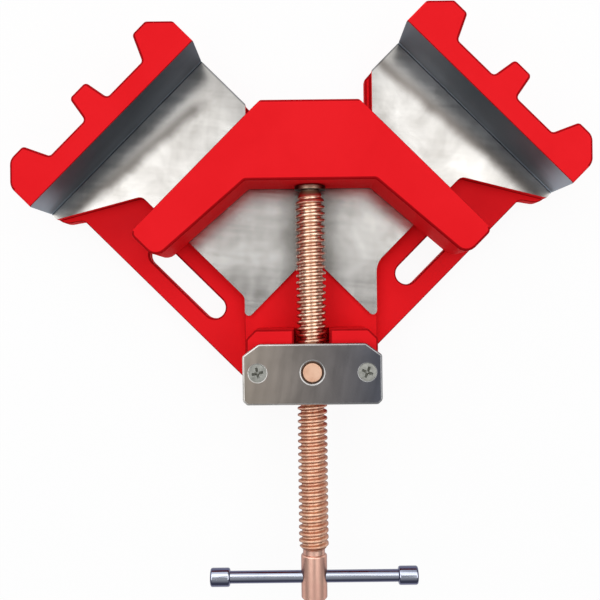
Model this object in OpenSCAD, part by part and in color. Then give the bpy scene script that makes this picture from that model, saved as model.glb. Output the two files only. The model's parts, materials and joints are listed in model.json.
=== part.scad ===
// Corner clamp for welding. Two fixed jaws stand at a right angle on a cast base, and a spindle pushes
// a V-shaped jaw into the corner between them. The spindle runs in a nut that swivels in the base, so
// the jaw settles on two pieces of unlike thickness. Drawn with the jaw partly open, in millimetres.
// The origin lies on the underside, below the pivot of the nut. +Y runs along the spindle to the
// corner, +X to the right seen from above, and +Z up.

/* [Base] */
// Distance from the nut's pivot to the corner where the two fixed faces would meet
corner_y = 207; // [195:1:225]
// Height of the machined floor above the underside
floor_z = 16; // [14:0.5:20]
// Depth of the arms' top below the machined floor
deck_drop = 6; // [2:0.5:8]
// Depth of the web's top below the machined floor
web_drop = 2; // [1:0.5:4]
// Width of the web that runs under the spindle
web_w = 66; // [62:1:72]
// Width of each arm along its jaw
arm_w = 98.5; // [95:0.5:103]
// Width of the machined floor along the jaw
floor_w = 69; // [63:1:72]
// Reach of the machined floor from the fixed face
floor_reach = 106.5; // [98:0.5:112]
// Distance from the fixed face to where the floor's edge turns out to the end of the jaw
floor_turn = 26; // [22:0.5:34]
// Distance from the fixed face to the floor's edge at the end of the jaw
floor_tip = 3.7; // [3:0.1:8]
// Distance from the fixed face to where the arm's edge turns out to the end of the jaw
arm_turn = 12.5; // [11:0.5:16]
// Distance from the fixed face to the arm's edge at the end of the jaw
arm_tip = 6.5; // [6:0.1:9]
// Distance from the corner to the near end of the left jaw
left_start = 75.5; // [70:0.5:82]
// Distance from the corner to the near end of the right jaw
right_start = 64; // [60:0.5:72]
// Width of the open corner between the arms
notch_w = 57; // [50:1:62]
// Distance from the nut's pivot to the closed end of the open corner
notch_y = 100; // [92:1:106]
// Step of the machined floor back from the edge of the open corner
notch_step = 3.2; // [1:0.1:5]

/* [Bolt slots] */
// Width of the slots that bolt the base to a bench
slot_w = 11; // [9:0.5:13]
// Distance from the left face to the first centre of the left slot
left_slot_near = 52; // [46:1:60]
// Distance from the left face to the last centre of the left slot
left_slot_far = 90.5; // [80:0.5:96]
// Distance from the right face to the first centre of the right slot
right_slot_near = 48; // [44:1:56]
// Distance from the right face to the last centre of the right slot
right_slot_far = 79; // [70:0.5:84]

/* [Fixed jaws] */
// Length of each fixed jaw
jaw_len = 107; // [103:1:116]
// Height of the jaws above the machined floor
jaw_h = 35; // [33:0.5:42]
// Thickness of the jaw wall between its lugs
jaw_wall = 10; // [8:0.5:14]
// Depth of the lugs behind the jaw wall
lug_depth = 12; // [8:0.5:16]
// Width of the lug at each end of the jaw
end_lug_w = 17.5; // [14:0.5:22]
// Width of the lug at the middle of the jaw
mid_lug_w = 10.5; // [8:0.5:16]
// Slope of the inner side of each end lug
end_lug_slope = 25; // [15:1:32]
// Slope of the sides of the middle lug
mid_lug_slope = 10; // [5:1:20]
// Cut across the outer corner of each end lug
end_cut = 9; // [5:0.5:11]
// Radius of the corners of the cut on each jaw's outer lug
lug_r = 6; // [2:0.5:7]
// Radius of the relief groove along the foot of the jaw face
relief_r = 0.8; // [0.4:0.1:1.5]

/* [Moving jaw] */
// Gap between the moving and the fixed faces as drawn
work_gap = 41; // [38:0.5:46]
// Width of the flat nose
nose_w = 45.8; // [42:0.2:50]
// Depth of the jaw from its nose to its front face
nose_depth = 37; // [34:0.5:42]
// Width of the front face between the arms
front_w = 60.4; // [56:0.2:64]
// Length of each face of the moving jaw
arm_face_len = 86; // [80:1:90]
// Thickness of each arm at its end
arm_end_t = 17; // [14:0.5:19]
// Thickness of the walls round the hollow
hollow_wall = 8; // [6:0.5:9]
// Thickness of the roof over the hollow
hollow_roof = 9; // [6:0.5:11]

/* [Spindle] */
// Height of the spindle's axis above the machined floor
spindle_rise = 15; // [14:0.5:18]
// Outside diameter of the thread
thread_d = 14.3; // [13:0.1:15.5]
// Length of the thread's tapered end towards the jaw
lead_len = 6; // [3:0.5:8]
// Diameter of the thread's tapered end at its shoulder
lead_d = 9; // [8.5:0.1:11]
// Diameter of the neck that the jaw turns on
neck_d = 7; // [6:0.1:8]
// Diameter of the groove for the retaining clip
groove_d = 5.4; // [4.5:0.1:5.8]
// Thickness of the retaining clip
clip_t = 1.4; // [1:0.1:2]
// Outside diameter of the retaining clip
clip_d = 12; // [10.5:0.1:14]
// Length of the neck past the retaining clip
neck_tail = 2.2; // [1.5:0.1:3]
// Thickness of the thrust washer
washer_t = 2; // [1.5:0.1:3]
// Outside diameter of the thrust washer
washer_d = 15; // [13:0.1:17]
// Diameter of the head that carries the bar
head_d = 12.5; // [11:0.1:14]
// Length of the head that carries the bar
head_len = 22; // [19:0.5:28]
// Width of the runout groove between the thread and the head
runout_w = 2.4; // [1.5:0.1:4]
// Diameter of the runout groove between the thread and the head
runout_d = 10.6; // [9:0.1:10.9]
// Distance from the nut's pivot back to the bar
bar_back = 99.5; // [92:0.5:110]

/* [Bar] */
// Diameter of the bar
bar_d = 6; // [5:0.1:7]
// Length of the bar over its caps
bar_len = 100; // [90:1:120]
// Diameter of each cap
cap_d = 9; // [8:0.1:11]
// Length of each cap
cap_len = 9.5; // [7:0.5:12]
// Depth of the hole that the bar seats in
cap_bore = 6; // [4:0.5:6.5]

/* [Swivel nut] */
// Diameter of the nut's body
nut_d = 22; // [20:0.5:24]
// Height of the nut's body
nut_h = 23.4; // [21:0.2:25]
// Diameter of the pivot under the nut
lower_pivot_d = 12; // [10:0.5:14]
// Length of the pivot under the nut
lower_pivot_len = 10; // [7:0.5:11]
// Diameter of the pivot that shows in the cover plate
upper_pivot_d = 9; // [8:0.5:11]
// Angle that the nut swivels to each side
swivel_angle = 3; // [2:0.5:4]

/* [Cover plate] */
// Width of the plate
plate_w = 65; // [62:0.5:66]
// Depth of the plate along the spindle
plate_depth = 28.5; // [26:0.5:32]
// Thickness of the plate
plate_t = 5; // [4:0.5:7]
// Distance from the pivot to the front edge of the plate
plate_front = 13.5; // [12.5:0.5:16]
// Cut across each front corner of the plate, along X and Y
plate_cut = [7.5, 5.5]; // [2:0.5:9]
// Cut across each rear corner of the plate
plate_rear_cut = 2; // [1:0.5:4]
// Overhang of the plate past each side of the housing
plate_lap = 1.5; // [0.5:0.5:3]
// Distance from each screw to the nearer end of the plate
screw_edge = 7; // [6:0.5:8.5]
// Diameter of the screws' shanks
screw_d = 4; // [3:0.5:5]
// Diameter of the screws' heads
screw_head_d = 8.4; // [7:0.1:9]
// Height of the countersunk cone of the heads
screw_head_h = 2.3; // [1.8:0.1:2.8]
// Length of the screws
screw_len = 16; // [12:1:20]

/* [Nut housing] */
// Distance from the pivot to the front of the housing
house_front = 20; // [18:0.5:22]
// Distance from the pivot to the rear of the housing
house_rear = 14.5; // [14:0.5:16]
// Cut across each front corner of the housing
house_cut = 4.5; // [3:0.5:9]

/* [Clearances] */
// Gap between the moving jaw and the floor it slides over
slide_gap = 0.8; // [0.4:0.05:1]
// Radial clearance of pieces that turn or slide in a bore
run_fit = 0.06; // [0.03:0.01:0.1]
// Radial clearance of pieces that stay put in a bore
seat_fit = 0.02; // [0.01:0.01:0.05]
// End play of the neck in the jaw, on each side of its wall
end_play = 0.5; // [0.4:0.05:0.8]
// Radial room round the neck, for the jaw to swivel
neck_room = 0.7; // [0.5:0.05:1]
// Side room for the spindle in the housing, at the end of its swing
swing_room = 0.4; // [0.4:0.05:1]
// Height room between flat faces that turn on each other
face_play = 0.1; // [0.05:0.05:0.3]

/* [Hidden] */
$fn = 64;

paint = [0.87, 0.11, 0.13];
copper = [0.78, 0.50, 0.37];
steel = [0.62, 0.62, 0.60];
plated = [0.46, 0.48, 0.56];
sides = ["left", "right"];
diagonal = sqrt(2);
arc_steps = 5;
cut_past = 1;
casting_r = 2;
turn_r = 4;
tip_r = 6;
arm_end_r = 6;
edge_break = 0.6;
bore_past = 0.5;

deck_z = floor_z - deck_drop;
web_z = floor_z - web_drop;
jaw_top = floor_z + jaw_h;
spindle_z = floor_z + spindle_rise;
web_half = web_w / 2;
// The bolt slot runs along the middle of the strip between the floor's edge and the arm's
slot_u = (floor_w + arm_w) / 2;
// Where the machined floor's two far edges meet on the centre line
vee_y = corner_y - floor_reach * diagonal;

jaw_bottom = floor_z + slide_gap;
nose_y = corner_y - work_gap * diagonal - nose_w / 2;
front_y = nose_y - nose_depth;
// Distance from the corner, along a fixed face, to the end of the moving jaw's arm
arm_end_u = work_gap + nose_w / 2 * diagonal + arm_face_len;

nut_bottom = spindle_z - nut_h / 2;
nut_top = spindle_z + nut_h / 2;
house_top = nut_top + face_play;
plate_top = house_top + plate_t;
channel_half = thread_d / 2 + max(house_front, house_rear) * sin(swivel_angle) + swing_room;
channel_z = spindle_z - thread_d / 2 - swing_room;
screw_x = plate_w / 2 - screw_edge;
house_half = plate_w / 2 - plate_lap;

// Stations along the spindle, from its head to the end of its neck
head_end = -bar_back - head_len / 2;
head_start = -bar_back + head_len / 2;
washer_front = front_y - end_play;
shoulder_y = washer_front - washer_t - face_play;
clip_y = front_y + hollow_wall + end_play;
groove_w = clip_t + 2 * face_play;
neck_end = clip_y + groove_w + neck_tail;

function start_of(side) = side == "left" ? left_start : right_start;
function slot_near(side) = side == "left" ? left_slot_near : right_slot_near;
function slot_far(side) = side == "left" ? left_slot_far : right_slot_far;
function unit(v) = v / norm(v);
function flat(p) = [p.x, p.y];

// Points of the arc that rounds the corner b between a and c to radius r
function corner_arc(a, b, c, r) =
    let (p = unit(a - b), q = unit(c - b), half = acos(p * q) / 2)
    let (centre = b + unit(p + q) * r / sin(half))
    let (first = b + p * r / tan(half) - centre, last = b + q * r / tan(half) - centre)
    let (from = atan2(first.y, first.x), swing = atan2(last.y, last.x) - from)
    let (sweep = swing > 180 ? swing - 360 : swing < -180 ? swing + 360 : swing)
    [for (i = [0:arc_steps]) let (at = from + sweep * i / arc_steps) centre + r * [cos(at), sin(at)]];

// Outline whose points are [x, y, radius of that corner]
function rounded(points) =
    let (n = len(points))
    [for (i = [0:n - 1])
        let (a = points[(i + n - 1) % n], b = points[i], c = points[(i + 1) % n])
        each b[2] == 0 ? [flat(b)] : corner_arc(flat(a), flat(b), flat(c), b[2])];

// Mirror image of a half outline about x = middle, run backwards
function mirrored(half, middle) =
    [for (i = [len(half) - 1:-1:0]) [2 * middle - half[i].x, half[i].y, half[i][2]]];

function both_halves(half, middle) = concat(half, mirrored(half, middle));

// Half of a jaw wall from one end to its middle, with a lug at the end and half of the middle one
function jaw_half(cut_r) =
    let (back = -jaw_wall, tip = -jaw_wall - lug_depth)
    let (end_root = end_lug_w + lug_depth * tan(end_lug_slope))
    let (mid_tip = (jaw_len - mid_lug_w) / 2, mid_root = mid_tip - lug_depth * tan(mid_lug_slope))
    [
        [0, 0, 0],
        [0, tip + end_cut, cut_r],
        [end_cut, tip, cut_r],
        [end_lug_w, tip, casting_r],
        [end_root, back, casting_r],
        [mid_root, back, casting_r],
        [mid_tip, tip, casting_r]
    ];

// Frame of one arm: x runs along the fixed face away from the corner, y square to it towards the work
module on_arm(side) {
    mirror([side == "right" ? 1 : 0, 0, 0])
        translate([0, corner_y, 0])
            rotate(225)
                children();
}

// Stands a shape that is drawn along Z on the spindle's axis, with its Z along +Y
module on_spindle() {
    translate([0, 0, spindle_z])
        rotate([-90, 0, 0])
            children();
}

module prism(outline, bottom, top) {
    translate([0, 0, bottom])
        linear_extrude(top - bottom)
            polygon(outline);
}

// Jaw wall from the corner's end, with its outer lug rounder than the others
module jaw_wall_solid() {
    outer_half = mirrored(jaw_half(lug_r), jaw_len / 2);
    prism(rounded(concat(jaw_half(casting_r), outer_half)), 0, jaw_top);
}

// Outline of a band of an arm, whose outer edge turns out to the end of the jaw
function band(width, reach, turn, tip, end_r) = rounded([
    [0, -jaw_wall / 2, 0],
    [0, reach, 0],
    [width, reach, 0],
    [width, turn, turn_r],
    [jaw_len, tip, end_r],
    [jaw_len, -jaw_wall / 2, 0]
]);

module arm_solid(side) {
    start = start_of(side);
    // Where the arm's outer edge runs into the web
    arm_reach = start + arm_w - web_half * diagonal;
    on_arm(side)
        translate([start, 0, 0]) {
            jaw_wall_solid();
            prism(band(arm_w, arm_reach, arm_turn, arm_tip, tip_r), 0, deck_z);
            prism(band(floor_w, floor_reach, floor_turn, floor_tip, 0), 0, floor_z);
        }
}

module web_solid() {
    length = notch_y + house_rear;
    translate([-web_half, -house_rear, 0])
        cube([web_w, length, web_z]);
    half = [[-web_half, vee_y - web_half, casting_r], [-web_half, notch_y - notch_step, 0]];
    prism(rounded(concat([[0, vee_y, 0]], both_halves(half, 0))), 0, floor_z);
}

module house_solid() {
    half = [
        [-house_half, -house_rear, 0],
        [-house_half, house_front - house_cut, casting_r],
        [-house_half + house_cut, house_front, casting_r]
    ];
    prism(rounded(both_halves(half, 0)), 0, house_top);
}

module bolt_slot(side) {
    run = slot_far(side) - slot_near(side);
    on_arm(side)
        translate([start_of(side) + slot_u, slot_near(side), -cut_past]) {
            depth = deck_z + 2 * cut_past;
            cylinder(d = slot_w, h = depth);
            translate([0, run, 0])
                cylinder(d = slot_w, h = depth);
            translate([-slot_w / 2, 0, 0])
                cube([slot_w, run, depth]);
        }
}

// The open corner is cut through the arms, and the floor steps back from its edge
module open_corner() {
    depth = corner_y - notch_y;
    step_w = notch_w + 2 * notch_step;
    translate([-notch_w / 2, notch_y, -cut_past])
        cube([notch_w, depth, jaw_top]);
    translate([-step_w / 2, notch_y - notch_step, deck_z])
        cube([step_w, depth, jaw_top]);
}

module relief_groove(side) {
    on_arm(side)
        translate([start_of(side) - cut_past, 0, floor_z])
            rotate([0, 90, 0])
                cylinder(r = relief_r, h = jaw_len + 2 * cut_past);
}

// Pocket and lower bore for the nut, the channel for the spindle and the holes for the plate's screws
module house_cuts() {
    pocket_z = nut_bottom - face_play;
    height = house_top - pocket_z + cut_past;
    translate([0, 0, pocket_z])
        cylinder(d = nut_d + 2 * run_fit, h = height);
    bore_depth = lower_pivot_len + bore_past;
    translate([0, 0, pocket_z - bore_depth])
        cylinder(d = lower_pivot_d + 2 * run_fit, h = bore_depth + cut_past);
    length = house_front + house_rear + 2 * cut_past;
    translate([-channel_half, -house_rear - cut_past, channel_z])
        cube([2 * channel_half, length, house_top - channel_z + cut_past]);
    hole_depth = screw_len - plate_t + bore_past;
    for (x = [-screw_x, screw_x])
        translate([x, 0, house_top - hole_depth])
            cylinder(d = screw_d + 2 * seat_fit, h = hole_depth + cut_past);
}

module base_casting() {
    color(paint)
        difference() {
            union() {
                for (side = sides)
                    arm_solid(side);
                web_solid();
                house_solid();
            }
            for (side = sides) {
                bolt_slot(side);
                relief_groove(side);
            }
            open_corner();
            house_cuts();
        }
}

// Outline of the moving jaw, whose two faces lie parallel to the fixed ones
function jaw_outline() =
    let (out = (arm_end_u - work_gap) / diagonal, down = (arm_end_u + work_gap) / diagonal)
    let (back = arm_end_t / diagonal)
    both_halves([
        [-front_w / 2, front_y, casting_r],
        [-out + back, corner_y - down - back, arm_end_r],
        [-out, corner_y - down, arm_end_r / 2],
        [-nose_w / 2, nose_y, casting_r]
    ], 0);

// The hollow is open underneath, with the wall that the spindle passes through at its front
function hollow_outline() =
    let (front = front_y + hollow_wall, nose = nose_y - hollow_wall)
    let (side_y = corner_y - (work_gap + hollow_wall) * diagonal)
    both_halves([[-(side_y - front), front, casting_r], [-(side_y - nose), nose, casting_r]], 0);

module moving_jaw() {
    color(paint)
        difference() {
            prism(rounded(jaw_outline()), jaw_bottom, jaw_top);
            prism(rounded(hollow_outline()), jaw_bottom - cut_past, jaw_top - hollow_roof);
            on_spindle()
                translate([0, 0, front_y - cut_past])
                    cylinder(d = neck_d + 2 * neck_room, h = hollow_wall + 2 * cut_past);
        }
}

// Turned from bar: head, runout, thread at its outside diameter, shoulder and grooved neck
module spindle() {
    groove_end = clip_y + groove_w;
    profile = [
        [0, head_end],
        [head_d / 2 - 2 * edge_break, head_end],
        [head_d / 2, head_end + 2 * edge_break],
        [head_d / 2, head_start - edge_break],
        [head_d / 2 - edge_break, head_start],
        [runout_d / 2, head_start],
        [runout_d / 2, head_start + runout_w],
        [thread_d / 2, head_start + runout_w + (thread_d - runout_d) / 2],
        [thread_d / 2, shoulder_y - lead_len],
        [lead_d / 2, shoulder_y],
        [neck_d / 2, shoulder_y],
        [neck_d / 2, clip_y],
        [groove_d / 2, clip_y],
        [groove_d / 2, groove_end],
        [neck_d / 2, groove_end],
        [neck_d / 2, neck_end - edge_break],
        [neck_d / 2 - edge_break, neck_end],
        [0, neck_end]
    ];
    color(copper)
        difference() {
            on_spindle()
                rotate_extrude()
                    polygon(profile);
            translate([-head_d, -bar_back, spindle_z])
                rotate([0, 90, 0])
                    cylinder(d = bar_d + 2 * run_fit, h = 2 * head_d);
        }
}

module swivel_nut() {
    color(copper)
        difference() {
            union() {
                translate([0, 0, nut_bottom])
                    cylinder(d = nut_d, h = nut_h);
                translate([0, 0, nut_bottom - lower_pivot_len])
                    cylinder(d = lower_pivot_d, h = lower_pivot_len + cut_past);
                translate([0, 0, nut_top - cut_past])
                    cylinder(d = upper_pivot_d, h = plate_top - nut_top + cut_past);
            }
            on_spindle()
                cylinder(d = thread_d + 2 * run_fit, h = 2 * nut_d, center = true);
        }
}

module cover_plate() {
    rear = plate_front - plate_depth;
    half = [
        [-plate_w / 2 + plate_rear_cut, rear, 0],
        [-plate_w / 2, rear + plate_rear_cut, 0],
        [-plate_w / 2, plate_front - plate_cut.y, 0],
        [-plate_w / 2 + plate_cut.x, plate_front, 0]
    ];
    color(steel)
        difference() {
            prism(rounded(both_halves(half, 0)), house_top, plate_top);
            translate([0, 0, house_top - cut_past])
                cylinder(d = upper_pivot_d + 2 * run_fit, h = plate_t + 2 * cut_past);
            for (x = [-screw_x, screw_x])
                translate([x, 0, plate_top])
                    screw_hole();
        }
}

// Clearance hole with a countersink, from the top of the plate down
module screw_hole() {
    translate([0, 0, -plate_t - cut_past])
        cylinder(d = screw_d + 2 * seat_fit, h = plate_t + 2 * cut_past);
    translate([0, 0, -screw_head_h])
        cylinder(d1 = screw_d + 2 * seat_fit, d2 = screw_head_d + 2 * seat_fit, h = screw_head_h);
}

module plate_screw(x) {
    color(steel)
        translate([x, 0, plate_top])
            rotate_extrude()
                polygon([
                    [0, -screw_len],
                    [screw_d / 2 - edge_break, -screw_len],
                    [screw_d / 2, -screw_len + edge_break],
                    [screw_d / 2, -screw_head_h],
                    [screw_head_d / 2, 0],
                    [0, 0]
                ]);
}

module plate_screw_left() {
    plate_screw(-screw_x);
}

module plate_screw_right() {
    plate_screw(screw_x);
}

module ring(outer_d, inner_d, from, thickness) {
    on_spindle()
        translate([0, 0, from])
            difference() {
                cylinder(d = outer_d, h = thickness);
                translate([0, 0, -cut_past])
                    cylinder(d = inner_d, h = thickness + 2 * cut_past);
            }
}

module thrust_washer() {
    color(steel)
        ring(washer_d, neck_d + 2 * run_fit, washer_front - washer_t, washer_t);
}

module retaining_clip() {
    color(steel)
        ring(clip_d, groove_d + 2 * seat_fit, clip_y + face_play, clip_t);
}

module tommy_bar() {
    length = bar_len - 2 * (cap_len - cap_bore);
    color(plated)
        translate([-length / 2, -bar_back, spindle_z])
            rotate([0, 90, 0])
                cylinder(d = bar_d, h = length);
}

// Cap with a blind hole for the bar's end and a broken edge all round
module bar_cap(direction) {
    color(plated)
        translate([direction * bar_len / 2, -bar_back, spindle_z])
            rotate([0, -direction * 90, 0])
                rotate_extrude()
                    polygon([
                        [0, 0],
                        [cap_d / 2 - edge_break, 0],
                        [cap_d / 2, edge_break],
                        [cap_d / 2, cap_len - edge_break],
                        [cap_d / 2 - edge_break, cap_len],
                        [bar_d / 2 + seat_fit, cap_len],
                        [bar_d / 2 + seat_fit, cap_len - cap_bore],
                        [0, cap_len - cap_bore]
                    ]);
}

module bar_cap_left() {
    bar_cap(-1);
}

module bar_cap_right() {
    bar_cap(1);
}

base_casting();
moving_jaw();
spindle();
swivel_nut();
cover_plate();
plate_screw_left();
plate_screw_right();
thrust_washer();
retaining_clip();
tommy_bar();
bar_cap_left();
bar_cap_right();
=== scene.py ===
"""Looks of a cast corner clamp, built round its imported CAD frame. Lengths are in metres."""

import json
import logging
import math
from abc import ABC, abstractmethod
from collections.abc import Callable, Iterable
from dataclasses import dataclass
from enum import Enum
from typing import Any

import bmesh
import bpy
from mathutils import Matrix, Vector


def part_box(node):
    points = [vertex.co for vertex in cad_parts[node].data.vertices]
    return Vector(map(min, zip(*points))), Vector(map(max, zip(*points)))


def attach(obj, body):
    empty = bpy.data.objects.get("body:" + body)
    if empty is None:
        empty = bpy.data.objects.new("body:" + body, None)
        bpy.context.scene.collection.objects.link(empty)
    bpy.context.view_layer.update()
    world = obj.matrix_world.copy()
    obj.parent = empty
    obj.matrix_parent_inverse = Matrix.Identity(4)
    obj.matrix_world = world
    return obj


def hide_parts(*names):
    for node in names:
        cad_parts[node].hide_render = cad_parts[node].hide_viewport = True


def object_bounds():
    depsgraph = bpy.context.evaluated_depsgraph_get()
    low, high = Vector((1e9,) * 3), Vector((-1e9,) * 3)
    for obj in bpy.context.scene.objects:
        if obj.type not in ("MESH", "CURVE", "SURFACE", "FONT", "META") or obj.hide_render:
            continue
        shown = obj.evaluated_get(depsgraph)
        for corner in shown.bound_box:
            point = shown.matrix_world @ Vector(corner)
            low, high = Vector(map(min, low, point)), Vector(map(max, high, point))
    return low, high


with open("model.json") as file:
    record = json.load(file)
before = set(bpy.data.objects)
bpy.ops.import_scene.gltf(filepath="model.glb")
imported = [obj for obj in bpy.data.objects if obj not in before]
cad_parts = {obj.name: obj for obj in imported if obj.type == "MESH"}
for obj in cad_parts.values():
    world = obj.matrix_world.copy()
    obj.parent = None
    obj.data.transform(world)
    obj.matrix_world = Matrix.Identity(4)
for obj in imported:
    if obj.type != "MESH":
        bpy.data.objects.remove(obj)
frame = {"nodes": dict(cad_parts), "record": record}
CAD_LOW, CAD_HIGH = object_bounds()
LOG = logging.getLogger("corner_clamp")

Colour = tuple[float, float, float]
Span = tuple[float, float]
Box = tuple[Vector, Vector]
Socket = bpy.types.NodeSocket
Mesh = bpy.types.Mesh
Solid = bmesh.types.BMesh
Edge = bmesh.types.BMEdge
Face = bmesh.types.BMFace
EdgeTest = Callable[[Edge], bool]

SIDES = ("left", "right")
WHITE = (1.0, 1.0, 1.0)
ACROSS = Vector((1, 0, 0))
ALONG = Vector((0, 1, 0))
UP = Vector((0, 0, 1))
# Most of a noise lies in this span.
NOISE_SPAN = (0.3, 0.7)
# The two halves of the base run into each other over this width.
HALF_BLEND = 0.01
# Points closer than WELD are one point, and TINY joins the slivers of a CAD mesh.
WELD = 1e-6
TINY = 5e-5
# A spot this close to a plane lies in it.
ON_PLANE = 3e-5
# Two normals look the same way above this product, and a face is upright below this rise of its normal.
ALIGNED = 0.999
UPRIGHT = 0.5
# The bevel's profile for a round that is a part of a circle.
EVEN_ROUND = 0.5
FLAT_ANGLE = math.radians(0.5)
SHARP_ANGLE = math.radians(35)


def opaque(colour: Colour) -> tuple[float, float, float, float]:
    """Gives a colour its full alpha."""
    return (*colour, 1.0)


class Wiring:
    """Adds nodes to one node tree and links them."""

    def __init__(self, tree: bpy.types.NodeTree) -> None:
        """Starts on a tree and empties it."""
        self.tree = tree
        tree.nodes.clear()

    def add(self, kind: str, feeds: dict[str | int, Any] | None = None, **settings: Any) -> bpy.types.Node:
        """Adds a node, sets its properties and feeds its inputs.

        Args:
            kind: Blender's type name of the node.
            feeds: Values or outputs, by the name or number of the input that takes them.
            settings: Properties of the node.

        Returns:
            The new node.
        """
        node = self.tree.nodes.new(kind)
        for key, value in settings.items():
            setattr(node, key, value)
        for key, value in (feeds or {}).items():
            self.feed(node.inputs[key], value)
        return node

    def feed(self, socket: Socket, value: Any) -> None:
        """Links an output to a socket, or sets the socket's own value.

        Args:
            socket: The input.
            value: An output of another node, or a plain value.
        """
        if isinstance(value, Socket):
            self.tree.links.new(value, socket)
        else:
            socket.default_value = value

    def sum_up(self, operation: str, *terms: Any) -> Socket:
        """Puts out the result of one Math node on these terms."""
        return self.add("ShaderNodeMath", dict(enumerate(terms)), operation=operation).outputs[0]

    def dot(self, first: Any, second: Any) -> Socket:
        """Puts out the dot product of two vectors."""
        node = self.add("ShaderNodeVectorMath", {0: first, 1: second}, operation="DOT_PRODUCT")
        return node.outputs["Value"]

    def less(self, first: Any, second: Any) -> Socket:
        """Puts out the first vector less the second."""
        return self.add("ShaderNodeVectorMath", {0: first, 1: second}, operation="SUBTRACT").outputs[0]

    def joined(self, **parts: Any) -> Socket:
        """Puts out a vector made of the X, Y and Z that are given."""
        return self.add("ShaderNodeCombineXYZ", parts).outputs[0]

    def noise(self, place: Any, scale: Any, detail: float, **more: float) -> Socket:
        """Puts out a noise, with more of the node's inputs by name."""
        feeds = {"Vector": place, "Scale": scale, "Detail": detail, **more}
        return self.add("ShaderNodeTexNoise", feeds).outputs["Fac"]

    def spread(self, value: Any, low: Any, high: Any, to_low: Any, to_high: Any,
               shape: str = "LINEAR") -> Socket:
        """Maps a value from one span onto another, held at both ends.

        Args:
            value: What is mapped.
            low: Start of the span it comes from.
            high: End of the span it comes from.
            to_low: Start of the new span.
            to_high: End of the new span.
            shape: How the value runs between the ends.

        Returns:
            The mapped value.
        """
        feeds = {"Value": value, "From Min": low, "From Max": high, "To Min": to_low, "To Max": to_high}
        return self.add("ShaderNodeMapRange", feeds, interpolation_type=shape).outputs["Result"]

    def rise(self, value: Any, low: float, high: float) -> Socket:
        """Puts out 0 up to a low value, which grows evenly to 1 at a high one."""
        return self.spread(value, low, high, 0.0, 1.0)

    def fade(self, value: Any, low: float, high: float) -> Socket:
        """Puts out 1 up to a low value, which fades softly to 0 at a high one."""
        return self.spread(value, low, high, 1.0, 0.0, "SMOOTHSTEP")

    def blend(self, share: Any, first: Any, second: Any, way: str = "MIX") -> Socket:
        """Mixes two colours.

        Args:
            share: How far the second colour counts, from 0 to 1.
            first: The first colour.
            second: The second colour.
            way: One of the Mix node's ways.

        Returns:
            The mixed colour.
        """
        node = self.add("ShaderNodeMix", data_type="RGBA", blend_type=way)
        colours = [s for s in node.inputs if s.type == "RGBA"]
        self.feed(node.inputs["Factor"], share)
        self.feed(colours[0], first)
        self.feed(colours[1], second)
        return next(s for s in node.outputs if s.type == "RGBA")

    def tinted(self, share: Any, colour: Any, tint: Colour) -> Socket:
        """Multiplies a colour by a tint, as far as a share says."""
        return self.blend(share, colour, opaque(tint), "MULTIPLY")


class Group(Wiring):
    """A new node group with named inputs and one output."""

    def __init__(self, name: str, kind: str, output: tuple[str, str], inputs: dict[str, str]) -> None:
        """Makes the group and its sockets. Socket types go without the words that all of them start with.

        Args:
            name: Name of the group.
            kind: Blender's type name of the tree.
            output: Name and type of its output.
            inputs: Types of its inputs, by name.
        """
        super().__init__(bpy.data.node_groups.new(name, kind))
        rows = [(*output, "OUTPUT"), *((*row, "INPUT") for row in inputs.items())]
        for socket, socket_kind, way in rows:
            self.tree.interface.new_socket(name=socket, in_out=way, socket_type="NodeSocket" + socket_kind)
        self.output = output[0]
        self.taken = self.add("NodeGroupInput").outputs

    def close(self, result: Socket) -> bpy.types.NodeTree:
        """Puts out a result and gives the finished group."""
        self.add("NodeGroupOutput", {self.output: result})
        return self.tree

    def close_dressed(self, shape: Socket) -> bpy.types.NodeTree:
        """Puts out a shape in the material that the group takes.

        Args:
            shape: The shape, with or without instances.

        Returns:
            The finished group.
        """
        real = self.add("GeometryNodeRealizeInstances", {"Geometry": shape}).outputs[0]
        feeds = {"Geometry": real, "Material": self.taken["Material"]}
        return self.close(self.add("GeometryNodeSetMaterial", feeds).outputs[0])


@dataclass
class Effects:
    """Shader effects that several finishes share, each built once as a node group."""

    stroke_detail: float = 4.0
    tone_detail: float = 3.0
    tone_roughness: float = 0.55
    tone_warp: float = 0.4
    tone_span: Span = (0.32, 0.68)

    def __post_init__(self) -> None:
        """Builds the groups."""
        self.strokes = self.tool_strokes()
        self.tone = self.uneven_tone()

    def tool_strokes(self) -> bpy.types.NodeTree:
        """Streaks that a grinder or cutter leaves, long in one direction.

        Returns:
            A group that puts out a mask from 0 to 1.
        """
        group = Group("tool_strokes", "ShaderNodeTree", ("Strokes", "Float"),
                      {"Vector": "Vector", "Stretch": "Vector", "Turn": "Float"})
        feeds = {"Vector": group.taken["Vector"], "Rotation": group.joined(Z=group.taken["Turn"])}
        turned = group.add("ShaderNodeMapping", feeds).outputs[0]
        feeds = {0: turned, 1: group.taken["Stretch"]}
        scaled = group.add("ShaderNodeVectorMath", feeds, operation="MULTIPLY").outputs[0]
        noise = group.noise(scaled, 1.0, self.stroke_detail)
        return group.close(group.rise(noise, *NOISE_SPAN))

    def uneven_tone(self) -> bpy.types.NodeTree:
        """Soft clouds, as on handled metal and on paint over a casting.

        Returns:
            A group that puts out a mask from 0 to 1.
        """
        group = Group("uneven_tone", "ShaderNodeTree", ("Tone", "Float"),
                      {"Vector": "Vector", "Scale": "Float"})
        noise = group.noise(group.taken["Vector"], group.taken["Scale"], self.tone_detail,
                            Roughness=self.tone_roughness, Distortion=self.tone_warp)
        return group.close(group.rise(noise, *self.tone_span))


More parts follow.
